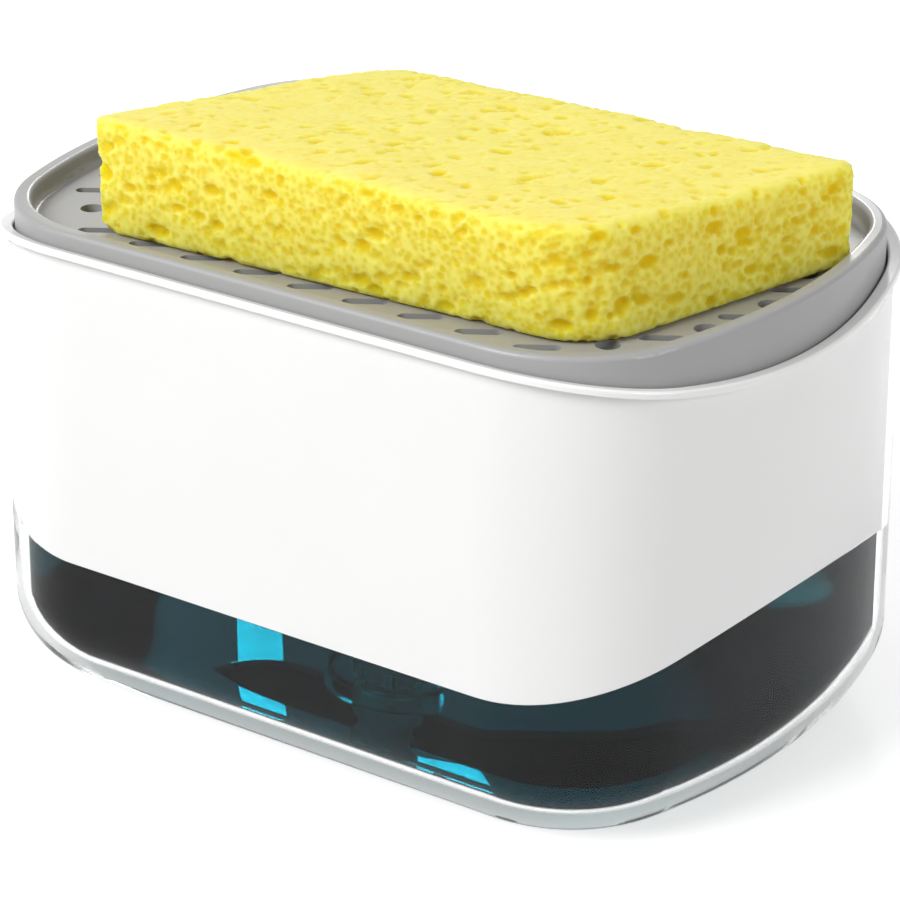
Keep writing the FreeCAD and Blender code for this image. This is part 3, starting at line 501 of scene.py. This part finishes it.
@dataclass
class CaseOutline:
    """The case seen from above: straight long sides, round corners and bowed ends."""

    length: float = 150.0 * MM
    depth: float = 104.4 * MM
    corner_radius: float = 28.5 * MM
    end_radius: float = 110.0 * MM
    corner_steps: int = 20
    end_steps: int = 10
    join: float = 0.001 * MM

    def draw(self, bm: bmesh.types.BMesh, inset: float, level: float) -> None:
        """Draw the closed outline, a quarter by spinning a point and the rest by mirroring.

        Args:
            bm: The mesh that takes the edges.
            inset: How far inside the case the outline runs.
            level: Its height.
        """
        end_x = self.length / 2 - self.end_radius
        corner_y = self.depth / 2 - self.corner_radius
        reach = self.end_radius - self.corner_radius
        corner_x = end_x + math.sqrt(reach ** 2 - corner_y ** 2)
        turn = math.asin(corner_y / reach)
        tip = bm.verts.new((self.length / 2 - inset, 0.0, level))
        bow = bmesh.ops.spin(
            bm, geom=[tip], cent=(end_x, 0.0, level), axis=UP, angle=turn, steps=self.end_steps)
        corner = bmesh.ops.spin(
            bm, geom=bow["geom_last"], cent=(corner_x, corner_y, level), axis=UP,
            angle=math.pi / 2 - turn, steps=self.corner_steps)
        side = bmesh.ops.extrude_vert_indiv(bm, verts=corner["geom_last"])["verts"]
        side[0].co.x = 0.0
        for axis in ("X", "Y"):
            geometry = bm.verts[:] + bm.edges[:]
            bmesh.ops.mirror(bm, geom=geometry, matrix=Matrix(), merge_dist=self.join, axis=axis)
        bmesh.ops.remove_doubles(bm, verts=bm.verts[:], dist=self.join)


@dataclass
class Tub:
    """The inside of the clear tub, and the soap that fills it."""

    outline: CaseOutline = field(default_factory=CaseOutline)
    wall: float = 2.4 * MM
    floor_top: float = 3.9 * MM
    cavity_round: float = 11.5 * MM
    air_gap: float = 0.2 * MM
    soap_level: float = 41.5 * MM
    meniscus_width: float = 1.6 * MM
    meniscus_height: float = 0.7 * MM
    round_steps: int = 12

    def build_soap(self) -> bpy.types.Object:
        """Build the soap: the outline of the cavity, raised to the fill level and rounded below.

        Returns:
            The soap, a little clear of the tub's wall.
        """
        bm = bmesh.new()
        low = self.floor_top + self.air_gap
        self.outline.draw(bm, self.wall + self.air_gap, low)
        bottom = bmesh.ops.contextual_create(bm, geom=bm.edges[:])["faces"]
        rim = bottom[0].edges[:]
        top = raise_faces(bm, bottom, self.soap_level - low)
        bmesh.ops.inset_region(bm, faces=top, thickness=self.meniscus_width, use_even_offset=True)
        bmesh.ops.translate(bm, verts=top[0].verts[:], vec=(0.0, 0.0, -self.meniscus_height))
        round_edges(bm, rim, self.cavity_round - self.air_gap, self.round_steps)
        bmesh.ops.recalc_face_normals(bm, faces=bm.faces[:])
        return piece_from(bm, "soap")


@dataclass
class ReturnSpring:
    """The coil spring under the stem, wound by screwing the wire's section round the axis."""

    wire: float = 1.0 * MM
    turns: int = 7
    steps_per_turn: int = 36
    section_steps: int = 12
    travel: float = 8.0 * MM

    def build(self) -> bpy.types.Object:
        """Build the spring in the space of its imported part.

        Returns:
            The spring, which shortens as the tray goes down.
        """
        low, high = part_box("return_spring")
        radius = (high.x - low.x - self.wire) / 2
        rise = high.z - low.z - self.wire
        bm = bmesh.new()
        upright = Matrix.Rotation(math.pi / 2, 4, "X")
        start = Matrix.Translation((radius, 0.0, low.z + self.wire / 2)) @ upright
        section = bmesh.ops.create_circle(
            bm, cap_ends=False, segments=self.section_steps, radius=self.wire / 2, matrix=start)
        steps = self.turns * self.steps_per_turn
        edges = bm.edges[:]
        wound = bmesh.ops.spin(
            bm, geom=section["verts"] + edges, cent=(0.0, 0.0, 0.0), axis=UP,
            dvec=(0.0, 0.0, rise / steps), angle=2 * math.pi * self.turns, steps=steps)
        last = only(wound["geom_last"], bmesh.types.BMEdge)
        bmesh.ops.contextual_create(bm, geom=edges)
        bmesh.ops.contextual_create(bm, geom=last)
        bmesh.ops.recalc_face_normals(bm, faces=bm.faces[:])
        spring = piece_from(bm, "spring_coil")
        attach(spring, "pump_unit")
        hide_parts("return_spring")
        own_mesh(spring)
        return spring


class PoreKind(enum.Enum):
    """Pores by size: least and most short radius, and how many lie on a square centimetre."""

    FINE = (0.45 * MM, 0.7 * MM, 6.0)
    MIDDLE = (0.7 * MM, 1.0 * MM, 3.6)
    LARGE = (1.0 * MM, 1.35 * MM, 1.3)


@dataclass
class Sponge:
    """The cellulose sponge: a soft block, higher at its front, eaten full of pores."""

    corners: tuple[tuple[float, float], ...] = (
        (-45.5 * MM, -39.2 * MM), (54.0 * MM, -35.0 * MM),
        (67.0 * MM, 25.0 * MM), (-31.4 * MM, 27.4 * MM))
    top_corners: tuple[tuple[float, float], ...] = (
        (-46.9 * MM, -39.2 * MM), (50.2 * MM, -37.0 * MM),
        (66.0 * MM, 26.4 * MM), (-32.0 * MM, 27.8 * MM))
    corner_rounds: tuple[float, ...] = (3.6 * MM, 10.0 * MM, 4.0 * MM, 6.0 * MM)
    heights: tuple[float, ...] = (20.7 * MM, 19.4 * MM, 17.0 * MM, 14.9 * MM)
    block_height: float = 20.0 * MM
    edge_round: float = 1.6 * MM
    corner_steps: int = 8
    edge_steps: int = 4
    cell: float = 0.45 * MM
    wave: float = 16.0 * MM
    wave_depth: float = 0.5 * MM
    crumb: float = 1.2 * MM
    crumb_depth: float = 0.22 * MM
    foot_height: float = 2.0 * MM
    pit_range: tuple[float, float] = (0.4, 0.85)
    stretch_range: tuple[float, float] = (1.0, 2.0)
    bowl_power: int = 3
    # Painted pore shade grows with a pore's depth and is full at this depth
    full_shade_depth: float = 0.6 * MM
    flat_from: float = 0.7
    top_count: float = 0.8
    top_depth: float = 0.8
    seed: int = 11

    def build(self) -> bpy.types.Object:
        """Build the sponge on the tray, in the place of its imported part.

        Returns:
            The sponge, with its pores sunk in its mesh.
        """
        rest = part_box("sponge")[0].z
        sponge = self.remeshed(self.block(rest))
        self.slope(sponge.data, rest)
        self.roughen(sponge.data, rest, self.pit_depths(sponge.data))
        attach(sponge, "sponge")
        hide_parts("sponge")
        return sponge

    def block(self, rest: float) -> bpy.types.Object:
        """Make the plain block with round corners and edges.

        Args:
            rest: The height of its underside.

        Returns:
            The block, before it is remeshed.
        """
        bm = bmesh.new()
        foot = bm.faces.new([bm.verts.new((x, y, rest)) for x, y in self.corners])
        raise_faces(bm, [foot], self.block_height)
        for corner, top, radius in zip(self.corners, self.top_corners, self.corner_rounds):
            upright = min(
                (edge for edge in bm.edges if self.rise(edge) > self.block_height / 2),
                key=lambda edge: min((vert.co.xy - Vector(corner)).length for vert in edge.verts))
            for vert in upright.verts:
                if vert.co.z > rest:
                    vert.co.xy = top
            round_edges(bm, [upright], radius, self.corner_steps)
        level = [edge for edge in bm.edges if self.rise(edge) < self.cell]
        round_edges(bm, level, self.edge_round, self.edge_steps)
        bmesh.ops.recalc_face_normals(bm, faces=bm.faces[:])
        return piece_from(bm, "sponge_blank")

    @staticmethod
    def rise(edge: bmesh.types.BMEdge) -> float:
        """Return the height between the two ends of an edge."""
        return abs(edge.verts[0].co.z - edge.verts[1].co.z)

    def remeshed(self, blank: bpy.types.Object) -> bpy.types.Object:
        """Turn the block into an even net of small faces.

        Args:
            blank: The plain block, which is removed.

        Returns:
            The dense piece.
        """
        net = blank.modifiers.new("net", "REMESH")
        net.mode = "VOXEL"
        net.voxel_size = self.cell
        graph = bpy.context.evaluated_depsgraph_get()
        mesh = bpy.data.meshes.new_from_object(blank.evaluated_get(graph))
        mesh.name = "cellulose_sponge"
        dense = bpy.data.objects.new("cellulose_sponge", mesh)
        bpy.context.scene.collection.objects.link(dense)
        bpy.data.objects.remove(blank)
        return dense

    def thickness(self, x: float, y: float) -> float:
        """Work out the sponge's height from the heights of its corners.

        Args:
            x: The place along the tray.
            y: The place across the tray.

        Returns:
            The height above the tray there.
        """
        front_left, front_right, back_right, back_left = self.heights
        low_x, high_x = self.corners[0][0], self.corners[2][0]
        low_y, high_y = self.corners[0][1], self.corners[2][1]
        along = min(max((x - low_x) / (high_x - low_x), 0.0), 1.0)
        across = min(max((y - low_y) / (high_y - low_y), 0.0), 1.0)
        front = front_left + (front_right - front_left) * along
        back = back_left + (back_right - back_left) * along
        return front + (back - front) * across

    def slope(self, mesh: bpy.types.Mesh, rest: float) -> None:
        """Bring the top of the block to the sponge's own heights.

        Args:
            mesh: The dense net, which is changed.
            rest: The height of its underside.
        """
        for vert in mesh.vertices:
            share = (vert.co.z - rest) / self.block_height
            vert.co.z = rest + share * self.thickness(vert.co.x, vert.co.y)
        mesh.update()

    def pit_depths(self, mesh: bpy.types.Mesh) -> list[float]:
        """Scatter the pores over the surface.

        Args:
            mesh: The dense net.

        Returns:
            How deep each vertex sinks.
        """
        tree = kdtree.KDTree(len(mesh.vertices))
        for vert in mesh.vertices:
            tree.insert(vert.co, vert.index)
        tree.balance()
        depth = [0.0] * len(mesh.vertices)
        draw = random.Random(self.seed)
        square_centimetres = sum(face.area for face in mesh.polygons) / CENTIMETRE ** 2
        for kind in PoreKind:
            least, most, density = kind.value
            for _ in range(int(square_centimetres * density)):
                centre = mesh.vertices[draw.randrange(len(mesh.vertices))]
                self.sink(centre, draw.uniform(least, most), draw, tree, depth)
        return depth

    def sink(
        self, centre: bpy.types.MeshVertex, radius: float, draw: random.Random,
        tree: kdtree.KDTree, depth: list[float]
    ) -> None:
        """Sink one oval pore round a point of the surface.

        Args:
            centre: The vertex in its middle.
            radius: Its short radius.
            draw: The seeded source of its stretch and depth.
            tree: All vertices, for the search.
            depth: The depth at each vertex, which is changed.
        """
        pit = radius * draw.uniform(*self.pit_range)
        stretch = draw.uniform(*self.stretch_range)
        angle = draw.uniform(0.0, math.pi)
        along = centre.normal.cross(Vector(UP)).normalized()
        if abs(centre.normal.z) > self.flat_from:
            if draw.random() > self.top_count:
                return
            pit *= self.top_depth
            along = Vector((math.cos(angle), math.sin(angle), 0.0))
        for place, index, _ in tree.find_range(centre.co, radius * stretch):
            offset = place - centre.co
            length = offset.dot(along)
            side = (offset - along * length).length
            reach = math.hypot(length / stretch, side) / radius
            if reach < 1.0:
                depth[index] = max(depth[index], pit * (1 - reach ** self.bowl_power))

    def roughen(self, mesh: bpy.types.Mesh, rest: float, depth: list[float]) -> None:
        """Sink the pores, swell the surface a little and store the painted pore shade and crust for
        the finish.

        Args:
            mesh: The dense net, which is changed.
            rest: The height of its underside.
            depth: How deep each vertex sinks.
        """
        normals = [vert.normal.copy() for vert in mesh.vertices]
        for vert, normal, pit in zip(mesh.vertices, normals, depth):
            swell = noise.noise(vert.co / self.wave) * self.wave_depth
            crumbs = noise.noise(vert.co / self.crumb) * self.crumb_depth
            held = min(1.0, (vert.co.z - rest) / self.foot_height)
            vert.co += normal * ((swell + crumbs) * held - pit)
            vert.co.z = max(vert.co.z, rest)
        # Painted shade in the pores, darker the deeper each pit sinks
        shades = [min(1.0, pit / self.full_shade_depth) for pit in depth]
        crusts = [max(0.0, normal.z) for normal in normals]
        for name, values in ((PAINTED_PORE_SHADE, shades), (CRUST, crusts)):
            mesh.attributes.new(name, "FLOAT", "POINT").data.foreach_set("value", values)
        mesh.shade_smooth()
        mesh.update()


@dataclass(frozen=True)
class SoftLamp:
    """A soft lamp: its place in metres, its width and height, and its power in watts."""

    name: str
    place: tuple[float, float, float]
    size: tuple[float, float]
    power: float


@dataclass
class Studio:
    """White floor, soft lamps, white surroundings and the photograph's camera."""

    azimuth: float = 36.28
    elevation: float = 23.5
    distance: float = 678.06 * MM
    target_height: float = 40.0 * MM
    frame_px: float = 900.0
    focal_px: float = 3863.6
    axis_px: tuple[float, float] = (446.73, 459.49)
    sensor: float = 36.0
    clip: tuple[float, float] = (0.01, 100.0)
    floor_size: float = 12.0
    floor_colour: str = "D6D6D6"
    floor_roughness: float = 0.9
    floor_lift: float = 0.6
    fade: tuple[float, float] = (0.35, 0.9)
    surround: float = 0.25
    lamps: tuple[SoftLamp, ...] = (
        SoftLamp("key_softbox", (-0.5, -1.25, 1.2), (0.9, 0.9), 28.5),
        SoftLamp("top_softbox", (0.1, 0.25, 1.5), (1.2, 1.2), 0.8),
        SoftLamp("rim_strip", (-0.577, 0.986, 0.555), (0.13, 0.5), 4.1),
        SoftLamp("end_softbox", (1.4, 0.1, 0.7), (0.7, 0.7), 7.5))

    def target(self) -> Vector:
        """Return the point that the camera and the lamps face."""
        return Vector((0.0, 0.0, self.target_height))

    @staticmethod
    def stand(data: bpy.types.ID, place: Vector, direction: Vector) -> bpy.types.Object:
        """Set up a camera or a lamp.

        Args:
            data: The camera or lamp, which gives its name.
            place: Where it stands, in metres.
            direction: Where it looks.

        Returns:
            The linked object.
        """
        holder = bpy.data.objects.new(data.name, data)
        holder.location = place
        holder.rotation_mode = "QUATERNION"
        holder.rotation_quaternion = direction.to_track_quat("-Z", "Y")
        bpy.context.scene.collection.objects.link(holder)
        return holder

    def aim(self) -> None:
        """Set the camera at the photograph's viewing angle and framing."""
        turn, tilt = math.radians(self.azimuth), math.radians(self.elevation)
        level = math.cos(tilt)
        back = Vector((math.sin(turn) * level, -math.cos(turn) * level, math.sin(tilt)))
        lens = bpy.data.cameras.new("photo_camera")
        lens.sensor_width = self.sensor
        lens.lens = self.focal_px / self.frame_px * self.sensor
        lens.shift_x = (self.frame_px / 2 - self.axis_px[0]) / self.frame_px
        lens.shift_y = (self.axis_px[1] - self.frame_px / 2) / self.frame_px
        lens.clip_start, lens.clip_end = self.clip
        bpy.context.scene.camera = self.stand(lens, self.target() + back * self.distance, -back)

    def lay_floor(self) -> None:
        """Lay the floor, which keeps the shadow near the caddy and is plain white further out."""
        bm = bmesh.new()
        bmesh.ops.create_grid(bm, x_segments=1, y_segments=1, size=self.floor_size / 2)
        floor = piece_from(bm, "floor", smooth=False)
        material, tree = new_tree("white_paper_floor")
        shader = add_node(tree, "ShaderNodeBsdfPrincipled", {
            "Base Color": linear(self.floor_colour), "Roughness": self.floor_roughness,
            "Specular IOR Level": 0.0,
            "Emission Color": WHITE, "Emission Strength": self.floor_lift})
        place = add_node(tree, "ShaderNodeTexCoord").outputs["Object"]
        away = add_node(tree, "ShaderNodeVectorMath", {0: place}, operation="LENGTH")
        far = add_node(tree, "ShaderNodeMapRange", {
            "Value": away.outputs["Value"], "From Min": self.fade[0], "From Max": self.fade[1]},
            interpolation_type="SMOOTHSTEP")
        white = add_node(tree, "ShaderNodeEmission", {"Color": WHITE, "Strength": 1.0})
        paper = add_node(tree, "ShaderNodeMixShader", {
            0: far.outputs["Result"], 1: shader.outputs["BSDF"], 2: white.outputs["Emission"]})
        plain = add_node(tree, "ShaderNodeBsdfDiffuse", {"Color": linear(self.floor_colour)})
        mix = add_node(tree, "ShaderNodeMixShader", {
            0: seen_directly(tree), 1: plain.outputs["BSDF"], 2: paper.outputs["Shader"]})
        add_node(tree, "ShaderNodeOutputMaterial", {"Surface": mix.outputs["Shader"]})
        dress(floor, material)

    def surround_with_white(self) -> None:
        """Set the world: white to the eye and in reflections, dimmer as a light."""
        world = bpy.data.worlds.new("white_surround")
        world.use_nodes = True
        tree = world.node_tree
        tree.nodes.clear()
        strength = add_node(tree, "ShaderNodeMapRange", {
            "Value": seen_directly(tree), "To Min": self.surround, "To Max": 1.0})
        back = add_node(tree, "ShaderNodeBackground", {
            "Color": WHITE, "Strength": strength.outputs["Result"]})
        add_node(tree, "ShaderNodeOutputWorld", {"Surface": back.outputs["Background"]})
        bpy.context.scene.world = world

    def hang(self, lamp: SoftLamp) -> None:
        """Hang one soft lamp that faces the caddy.

        Args:
            lamp: The lamp's name, place, size and power.
        """
        light = bpy.data.lights.new(lamp.name, "AREA")
        light.shape = "RECTANGLE"
        light.size, light.size_y = lamp.size
        light.energy = lamp.power
        place = Vector(lamp.place)
        self.stand(light, place, self.target() - place)

    def build(self) -> None:
        """Set up the whole studio."""
        self.aim()
        self.lay_floor()
        self.surround_with_white()
        for lamp in self.lamps:
            self.hang(lamp)


NODE_FINISHES: dict[str, Finish] = {
    "reservoir": ClearPlastic(),
    "white_sleeve": WHITE_ABS,
    "foot_pads": SILICONE,
    "pump_deck": DECK_POLYPROPYLENE,
    "deck_gasket": SILICONE,
    "pump_cylinder": NATURAL_POLYPROPYLENE,
    "cylinder_gasket": SILICONE,
    "collar_nut": WHITE_ABS,
    "stem_guide": NATURAL_POLYPROPYLENE,
    "ball_cage": NATURAL_POLYPROPYLENE,
    "dip_tube": NATURAL_POLYPROPYLENE,
    "inlet_strainer": NATURAL_POLYPROPYLENE,
    "inlet_ball": STEEL,
    "press_tray": GREY_ABS,
    "soap_nozzle": GREY_ABS,
    "plunger_stem": NATURAL_POLYPROPYLENE,
    "piston": NATURAL_POLYPROPYLENE,
    "outlet_ball": STEEL,
}


def main() -> None:
    """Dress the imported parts, add the new pieces and set up the studio."""
    logging.basicConfig(level=logging.INFO, format="%(message)s")
    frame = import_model()
    made: dict[Finish, bpy.types.Material] = {}
    for name, finish in NODE_FINISHES.items():
        if finish not in made:
            made[finish] = finish.build()
        dress(frame["nodes"][name], made[finish])
        LOG.info("dressed %s in %s", name, finish.name)
    soap = Tub().build_soap()
    dress(soap, DishSoap().build())
    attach(soap, "tub")
    LOG.info("filled %s", soap.name)
    spring = ReturnSpring().build()
    dress(spring, made[STEEL])
    LOG.info("wound %s", spring.name)
    sponge = Sponge().build()
    dress(sponge, CelluloseSponge().build())
    LOG.info("made %s with %d faces", sponge.name, len(sponge.data.polygons))
    Studio().build()
    bpy.context.scene.view_settings.view_transform = "Standard"


if __name__ == "__main__":
    main()
